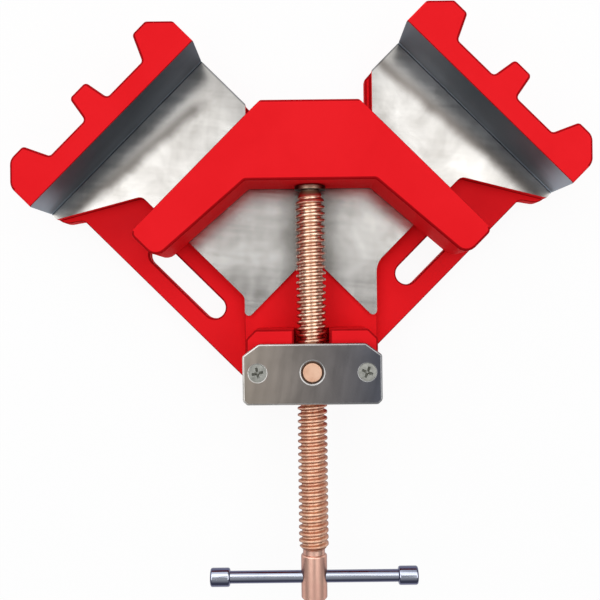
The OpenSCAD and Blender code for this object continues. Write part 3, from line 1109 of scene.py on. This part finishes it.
@dataclass
class Spindle(SubAssembly):
    """The screw: a trapezoidal thread with a bored head and a thin neck.

    The flank says where the root and the crest start, in shares of the pitch from the crest's middle.
    """

    pitch: float = 0.003175
    depth: float = 0.0016
    flank: Span = (0.42, 0.1)
    around: int = 48
    rows_per_turn: int = 22
    smooth_angle: float = 50.0
    overlap: float = 0.0005
    edge_round: float = 0.0003
    edge_steps: int = 2
    crest_slack: float = 2e-5

    def thread_tree(self) -> bpy.types.NodeTree:
        """Builds the tree that winds a thread along the Y axis.

        Returns:
            The tree, whose rows of points follow the helix.
        """
        lengths = ("Pitch", "Crest Radius", "Root Radius", "End Radius", "Start", "Crest Start",
                   "Crest Stop", "Stop", "Axis Height")
        others = {"Around": "Int", "Rows per Turn": "Int", "Material": "Material"}
        wires = Group("wound_thread", "GeometryNodeTree", ("Thread", "Geometry"),
                      dict.fromkeys(lengths, "Float") | others)
        taken = wires.taken
        step = wires.sum_up
        root, crest = taken["Root Radius"], taken["Crest Radius"]
        length = step("SUBTRACT", taken["Stop"], taken["Start"])
        turns = step("ADD", step("CEIL", step("DIVIDE", length, taken["Pitch"])), 1.0)
        rows = step("ADD", step("MULTIPLY", turns, taken["Rows per Turn"]), 1.0)
        columns = step("ADD", taken["Around"], 1.0)
        grid = wires.add("GeometryNodeMeshGrid", {"Size X": turns, "Size Y": 1.0, "Vertices X": rows,
                                                  "Vertices Y": columns})
        spot = wires.add("GeometryNodeInputPosition").outputs[0]
        parts = wires.add("ShaderNodeSeparateXYZ", {0: spot}).outputs
        along = step("ADD", parts["X"], step("DIVIDE", turns, 2.0))
        round_share = step("ADD", parts["Y"], 0.5)
        wound = step("SUBTRACT", step("ADD", along, round_share), 1.0)
        free = step("MULTIPLY_ADD", wound, taken["Pitch"], taken["Start"])
        held = wires.add("ShaderNodeClamp", {"Value": free, "Min": taken["Start"], "Max": taken["Stop"]})
        y = held.outputs[0]
        turned = step("DIVIDE", step("SUBTRACT", y, taken["Start"]), taken["Pitch"])
        phase = step("FRACT", step("SUBTRACT", turned, round_share))
        from_crest = step("ABSOLUTE", step("SUBTRACT", phase, 0.5))
        thread = wires.spread(from_crest, *self.flank, root, crest, "SMOOTHSTEP")
        lead_in = wires.spread(y, taken["Start"], taken["Crest Start"], root, crest)
        lead_out = wires.spread(y, taken["Crest Stop"], taken["Stop"], crest, taken["End Radius"])
        radius = step("MINIMUM", thread, step("MINIMUM", lead_in, lead_out))
        angle = step("MULTIPLY", round_share, math.tau)
        x = step("MULTIPLY", radius, step("SINE", angle))
        z = step("MULTIPLY_ADD", radius, step("COSINE", angle), taken["Axis Height"])
        skin = wires.add("GeometryNodeSetPosition", {"Geometry": grid.outputs["Mesh"],
                                                     "Position": wires.joined(X=x, Y=y, Z=z)})
        ends = wires.add("GeometryNodeJoinGeometry", {0: skin.outputs[0]})
        for level, size in ((taken["Start"], root), (taken["Stop"], taken["End Radius"])):
            disc = wires.add("GeometryNodeMeshCircle", {"Vertices": taken["Around"], "Radius": size},
                             fill_type="NGON")
            centre = wires.joined(Y=level, Z=taken["Axis Height"])
            end = wires.add("GeometryNodeTransform", {"Geometry": disc.outputs[0], "Translation": centre,
                                                      "Rotation": (math.pi / 2, 0.0, 0.0)})
            wires.feed(ends.inputs[0], end.outputs[0])
        closed = wires.add("GeometryNodeMergeByDistance", {"Geometry": ends.outputs[0], "Distance": WELD})
        return wires.close_dressed(closed.outputs[0])

    def cut_off(self, level: float, keep_front: bool) -> Mesh:
        """Cuts the CAD spindle at one place along its axis and keeps one end, with its edges broken.

        Args:
            level: Where it is cut, along Y.
            keep_front: Whether the end towards the jaw is kept.

        Returns:
            The closed end.
        """
        solid = welded_copy("spindle")
        everything = solid.verts[:] + solid.edges[:] + solid.faces[:]
        cut = bmesh.ops.bisect_plane(solid, geom=everything, dist=WELD, plane_co=ALONG * level,
                                     plane_no=ALONG, clear_inner=keep_front, clear_outer=not keep_front)
        rim = [e for e in cut["geom_cut"] if isinstance(e, Edge)]
        bmesh.ops.contextual_create(solid, geom=rim)
        bmesh.ops.recalc_face_normals(solid, faces=solid.faces[:])
        away = self.edge_round * 2
        ends = sharp_edges(solid, lambda e: abs(middle(e).y - level) > away)
        round_off(solid, ends, self.edge_round, self.edge_steps)
        return merged_mesh(solid, "spindle_end")

    def build(self) -> None:
        """Builds the spindle."""
        low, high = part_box("spindle")
        crest = (high.x - low.x) / 2
        axis = (low.z + high.z) / 2
        spots = [v.co for v in frame["nodes"]["spindle"].data.vertices]
        reach = [(math.hypot(p.x, p.z - axis), p.y) for p in spots]
        crest_rows = [y for r, y in reach if r > crest - self.crest_slack]
        start = min(crest_rows) - self.depth
        shoulder = max(y for r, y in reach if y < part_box("thrust_washer")[0].y)
        end = max(r for r, y in reach if abs(y - shoulder) < ON_PLANE)
        sizes = {"Pitch": self.pitch, "Crest Radius": crest, "Root Radius": crest - self.depth,
                 "End Radius": end, "Axis Height": axis, "Start": start, "Crest Start": min(crest_rows),
                 "Crest Stop": max(crest_rows), "Stop": shoulder, "Around": self.around,
                 "Rows per Turn": self.rows_per_turn, "Material": self.shelf.take(Finish.COPPER_PLATE)[0]}
        thread = grown_mesh(self.thread_tree(), sizes)
        head = self.cut_off(start + self.overlap, False)
        neck = self.cut_off(shoulder - self.overlap, True)
        whole = united(thread, [head, neck])
        whole.shade_smooth()
        whole.set_sharp_from_angle(angle=math.radians(self.smooth_angle))
        finishes = [Finish.COPPER_PLATE, Finish.HEAD_COPPER]
        self.place("screw_spindle", whole, finishes, "spindle", "copper_plate", "spindle")
        for face in whole.polygons:
            face.material_index = int(face.center.y < start)


@dataclass
class SmallParts(SubAssembly):
    """Turned parts that keep their CAD shape and get broken edges."""

    fine_round: float = 0.0003
    fine_steps: int = 2

    def turn(self, node: str, name: str, finish: Finish, body: str, slot: str, width: float,
             wanted: EdgeTest = lambda edge: True) -> None:
        """Builds one part from its CAD node.

        Args:
            node: The CAD node.
            name: Name of the piece.
            finish: Its finish.
            body: The body that it rides on.
            slot: The record's material slot.
            width: How far its edges are rounded.
            wanted: Says which edges are rounded.
        """
        solid = welded_copy(node)
        round_off(solid, sharp_edges(solid, wanted), width, self.fine_steps)
        self.place(name, merged_mesh(solid, name), [finish], body, slot, node)


@dataclass
class SwivelNut(SmallParts):
    """The nut, whose pivot shows in the cover plate."""

    pivot_round: float = 0.0005

    def build(self) -> None:
        """Builds the nut."""
        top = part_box("swivel_nut")[1].z
        self.turn("swivel_nut", "nut", Finish.PIVOT_COPPER, "nut", "copper_plate", self.pivot_round,
                  lambda edge: abs(middle(edge).z - top) < ON_PLANE)


@dataclass
class JawLink(SmallParts):
    """The washer and clip that tie the spindle's neck to the jaw."""

    def build(self) -> None:
        """Builds both rings."""
        self.turn("thrust_washer", "washer", Finish.DARK_STEEL, "feed", "dark_steel", self.fine_round)
        self.turn("retaining_clip", "clip", Finish.DARK_STEEL, "spindle", "dark_steel", self.fine_round)


@dataclass
class TommyBar(SmallParts):
    """The sliding bar with a cap at each end."""

    cap_round: float = 0.0008

    def build(self) -> None:
        """Builds the bar and its caps."""
        self.turn("tommy_bar", "bar", Finish.BLUE_ZINC, "bar", "blue_zinc", self.fine_round)
        for side in SIDES:
            self.turn(f"bar_cap_{side}", f"cap_{side}", Finish.BLUE_ZINC, "bar", "blue_zinc", self.cap_round)


@dataclass
class CoverPlate(SubAssembly):
    """The steel plate over the nut, with its pivot hole and its two screws.

    The shares of a screw are of its radius, its length and its head's height, in the order of the fields.
    The taper's sizes are shares of the cross recess's wing length, wing width and depth.
    """

    edge_round: float = 0.0009
    edge_steps: int = 4
    pivot_chamfer: float = 0.0011
    ring_width: float = 0.0004
    pivot_reach: float = 0.007
    seat_chamfer: float = 0.0004
    screw_reach: float = 0.006
    screw_faces: int = 48
    shank_share: float = 0.48
    head_share: float = 0.145
    sunk_share: float = 0.4
    wing_length: float = 0.0054
    wing_width: float = 0.0012
    recess_depth: float = 0.0024
    taper_top: float = 0.62
    taper_foot: float = 0.5
    taper_depth: float = 1.1
    left_turn: float = 12.0
    right_turn: float = -22.0

    def screw_tree(self) -> bpy.types.NodeTree:
        """Builds the tree that makes countersunk screws with a cross recess and sets them in a row.

        Returns:
            The tree.
        """
        lengths = ("Head Radius", "Head Height", "Shank Radius", "Length", "Wing Length", "Wing Width",
                   "Recess Depth", "Left Turn", "Right Turn")
        others = {"Faces": "Int", "First Place": "Vector", "Step": "Vector", "Material": "Material"}
        wires = Group("plate_screw_row", "GeometryNodeTree", ("Screws", "Geometry"),
                      dict.fromkeys(lengths, "Float") | others)
        taken = wires.taken
        step = wires.sum_up

        def lowered(shape: Socket, depth: Any) -> Socket:
            """Moves a shape down."""
            down = wires.joined(Z=step("MULTIPLY", depth, -1.0))
            return wires.add("GeometryNodeTransform", {"Geometry": shape, "Translation": down}).outputs[0]

        def cone(top: Any, foot: Any, depth: Any) -> Socket:
            """Makes a cone that stands on its foot."""
            feeds = {"Vertices": taken["Faces"], "Radius Top": top, "Radius Bottom": foot, "Depth": depth}
            return wires.add("GeometryNodeMeshCone", feeds).outputs["Mesh"]

        def combined(operation: str, *shapes: Socket) -> Socket:
            """Unites or intersects shapes, or takes the others off the first.

            Args:
                operation: The Mesh Boolean node's operation.
                shapes: The shapes.

            Returns:
                What is left.
            """
            node = wires.add("GeometryNodeMeshBoolean", operation=operation, solver="EXACT")
            sockets = {s.identifier: s for s in node.inputs}
            for number, shape in enumerate(shapes):
                first = operation == "DIFFERENCE" and number == 0
                wires.feed(sockets["Mesh 1" if first else "Mesh 2"], shape)
            return node.outputs["Mesh"]

        head = cone(taken["Head Radius"], taken["Shank Radius"], taken["Head Height"])
        shank = wires.add("GeometryNodeMeshCylinder", {"Vertices": taken["Faces"],
                                                       "Radius": taken["Shank Radius"],
                                                       "Depth": taken["Length"]}).outputs["Mesh"]
        half = step("MULTIPLY", taken["Length"], 0.5)
        sunk = step("ADD", half, step("MULTIPLY", taken["Head Height"], self.sunk_share))
        body = combined("UNION", lowered(head, taken["Head Height"]), lowered(shank, sunk))
        tall = step("MULTIPLY", taken["Recess Depth"], 2.0)
        wings = []
        for first, second in (("Wing Length", "Wing Width"), ("Wing Width", "Wing Length")):
            size = wires.joined(X=taken[first], Y=taken[second], Z=tall)
            wings.append(wires.add("GeometryNodeMeshCube", {"Size": size}).outputs["Mesh"])
        taper = cone(step("MULTIPLY", taken["Wing Length"], self.taper_top),
                     step("MULTIPLY", taken["Wing Width"], self.taper_foot),
                     step("MULTIPLY", taken["Recess Depth"], self.taper_depth))
        recess = combined("INTERSECT", combined("UNION", *wings), lowered(taper, taken["Recess Depth"]))
        screw = combined("DIFFERENCE", body, recess)
        row = wires.add("GeometryNodeMeshLine", {"Count": len(SIDES), "Start Location": taken["First Place"],
                                                 "Offset": taken["Step"]}, mode="OFFSET")
        index = wires.add("GeometryNodeInputIndex").outputs[0]
        turn = wires.spread(index, 0.0, 1.0, taken["Left Turn"], taken["Right Turn"])
        placed = wires.add("GeometryNodeInstanceOnPoints", {"Points": row.outputs[0], "Instance": screw,
                                                            "Rotation": wires.joined(Z=turn)})
        return wires.close_dressed(placed.outputs[0])

    def build_plate(self) -> None:
        """Builds the plate with its chamfers."""
        solid = welded_copy("cover_plate")
        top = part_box("cover_plate")[1].z
        screws = [sum(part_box(f"plate_screw_{side}"), Vector()) / 2 for side in SIDES]

        def at_pivot(edge: Edge) -> bool:
            """Says whether an edge is at the pivot's hole."""
            return middle(edge).xy.length < self.pivot_reach

        def at_screw(edge: Edge) -> bool:
            """Says whether an edge is at a screw's seat."""
            return min((middle(edge) - s).xy.length for s in screws) < self.screw_reach

        def on_top(edge: Edge) -> bool:
            """Says whether an edge lies in the plate's top."""
            return abs(middle(edge).z - top) < ON_PLANE

        outline = sharp_edges(solid, lambda e: not at_pivot(e) and not at_screw(e))
        rims = round_off(solid, outline, self.edge_round, self.edge_steps)
        for width in (self.pivot_chamfer, self.ring_width):
            mouth = sharp_edges(solid, lambda e: on_top(e) and at_pivot(e))
            ring = round_off(solid, mouth, width, clamp=False)
        seats = sharp_edges(solid, lambda e: on_top(e) and at_screw(e))
        rims += ring + round_off(solid, seats, self.seat_chamfer, clamp=False)
        mark(rims, 1)
        finishes = [Finish.PLATE_STEEL, Finish.CUT_STEEL]
        self.place("plate", merged_mesh(solid, "plate"), finishes, "base", "ground_steel", "cover_plate")

    def build_screws(self) -> None:
        """Builds both screws as one row."""
        boxes = [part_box(f"plate_screw_{side}") for side in SIDES]
        first, last = (Vector((*((low + high) / 2).xy, high.z)) for low, high in boxes)
        size = boxes[0][1] - boxes[0][0]
        radius = size.x / 2
        sizes = {"Head Radius": radius, "Head Height": size.z * self.head_share,
                 "Shank Radius": radius * self.shank_share,
                 "Length": size.z * (1 - self.sunk_share * self.head_share),
                 "Wing Length": self.wing_length, "Wing Width": self.wing_width,
                 "Recess Depth": self.recess_depth, "Left Turn": math.radians(self.left_turn),
                 "Right Turn": math.radians(self.right_turn), "Faces": self.screw_faces,
                 "First Place": first, "Step": last - first,
                 "Material": self.shelf.take(Finish.SCREW_STEEL)[0]}
        mesh = grown_mesh(self.screw_tree(), sizes)
        self.place("plate_screws", mesh, [Finish.SCREW_STEEL], "base", "screw_steel", "plate_screw_left",
                   "plate_screw_right")

    def build(self) -> None:
        """Builds the plate and its screws."""
        self.build_plate()
        self.build_screws()


@dataclass(frozen=True)
class LightPanel:
    """A flat panel of soft light under the ceiling, facing down."""

    name: str
    low: Span
    high: Span
    brightness: float

    def hang(self, height: float) -> None:
        """Hangs the panel.

        Args:
            height: How high it hangs.
        """
        wide = self.high[0] - self.low[0]
        deep = self.high[1] - self.low[1]
        data = bpy.data.lights.new(self.name, "AREA")
        data.shape = "RECTANGLE"
        data.size = wide
        data.size_y = deep
        data.energy = self.brightness * math.pi * wide * deep
        light = bpy.data.objects.new(self.name, data)
        light.location = ((self.low[0] + self.high[0]) / 2, (self.low[1] + self.high[1]) / 2, height)
        light.visible_camera = False
        bpy.context.scene.collection.objects.link(light)


@dataclass
class Studio:
    """The camera over the clamp, light panels round it, a dim room and a white floor."""

    camera_place: Colour = (-0.0054, 0.03377, 0.452)
    camera_turn: float = -0.64
    lens: float = 52.38
    sensor: float = 36.0
    nearest: float = 0.01
    panel_height: float = 0.75
    panels: tuple[LightPanel, ...] = (
        LightPanel("left_panel", (-0.85, -0.3), (-0.17, 0.27), 1.6),
        LightPanel("right_panel", (0.17, -0.3), (0.85, 0.27), 1.6),
        LightPanel("middle_panel", (-0.1, 0.085), (0.14, 0.14), 1.3),
        LightPanel("inner_left_panel", (-0.17, 0.15), (-0.12, 0.27), 1.6),
        LightPanel("inner_right_panel", (0.1, 0.15), (0.17, 0.27), 1.6),
        LightPanel("back_panel", (-0.85, 0.27), (0.85, 0.8), 1.2),
    )
    room_tint: Colour = (0.96, 0.98, 1.0)
    room_span: Span = (-0.2, 1.0)
    room_light: Span = (0.28, 0.37)
    window_way: Colour = (-0.45, 0.87, 0.2)
    window_span: Span = (0.7, 0.92)
    window_light: float = 1.1
    floor_half: float = 3.0
    floor_white: float = 0.93
    paper: Colour = (0.9, 0.9, 0.9)

    def aim_camera(self) -> None:
        """Sets the camera straight above the clamp."""
        data = bpy.data.cameras.new("camera")
        data.lens = self.lens
        data.sensor_width = self.sensor
        data.clip_start = self.nearest
        camera = bpy.data.objects.new("camera", data)
        camera.location = self.camera_place
        camera.rotation_euler = (0.0, 0.0, math.radians(self.camera_turn))
        bpy.context.scene.collection.objects.link(camera)
        bpy.context.scene.camera = camera

    def fill_room(self) -> None:
        """Gives the room a dim light that grows towards the ceiling, and a window at the back left."""
        world = bpy.data.worlds.new("room")
        world.use_nodes = True
        wires = Wiring(world.node_tree)
        way = wires.add("ShaderNodeTexCoord").outputs["Generated"]
        ambient = wires.spread(wires.dot(way, UP), *self.room_span, *self.room_light)
        window = wires.spread(wires.dot(way, self.window_way), *self.window_span, 0.0, self.window_light)
        strength = wires.sum_up("ADD", ambient, window)
        light = wires.add("ShaderNodeBackground", {"Color": opaque(self.room_tint), "Strength": strength})
        wires.add("ShaderNodeOutputWorld", {"Surface": light.outputs[0]})
        bpy.context.scene.world = world

    def lay_floor(self) -> None:
        """Lays a floor that looks white and keeps a little of the clamp's shadow."""
        mesh = bpy.data.meshes.new("studio_floor")
        reach = self.floor_half
        corners = [(-reach, -reach, 0.0), (reach, -reach, 0.0), (reach, reach, 0.0), (-reach, reach, 0.0)]
        mesh.from_pydata(corners, [], [(0, 1, 2, 3)])
        made = bpy.data.materials.new("studio_floor")
        made.use_nodes = True
        wires = Wiring(made.node_tree)
        path = wires.add("ShaderNodeLightPath").outputs
        seen = wires.sum_up("MAXIMUM", path["Is Camera Ray"], path["Is Glossy Ray"])
        seen = wires.sum_up("MAXIMUM", seen, path["Is Transmission Ray"])
        share = wires.sum_up("MULTIPLY", seen, self.floor_white)
        paper = wires.add("ShaderNodeBsdfDiffuse", {"Color": opaque(self.paper)})
        white = wires.add("ShaderNodeEmission", {"Strength": 1.0})
        both = wires.add("ShaderNodeMixShader", {0: share, 1: paper.outputs[0], 2: white.outputs[0]})
        wires.add("ShaderNodeOutputMaterial", {"Surface": both.outputs[0]})
        mesh.materials.append(made)
        floor = bpy.data.objects.new("studio_floor", mesh)
        bpy.context.scene.collection.objects.link(floor)

    def build(self) -> None:
        """Sets up the whole studio."""
        bpy.context.scene.view_settings.view_transform = "Standard"
        self.aim_camera()
        for panel in self.panels:
            panel.hang(self.panel_height)
        self.fill_room()
        self.lay_floor()


def main() -> None:
    """Builds the studio and the clamp, piece by piece."""
    logging.basicConfig(level=logging.INFO, format="%(name)s: %(message)s")
    Studio().build()
    shelf = FinishShelf()
    for part in (BaseCasting, MovingJaw, Spindle, SwivelNut, CoverPlate, JawLink, TommyBar):
        part(shelf).build()


if __name__ == "__main__":
    main()
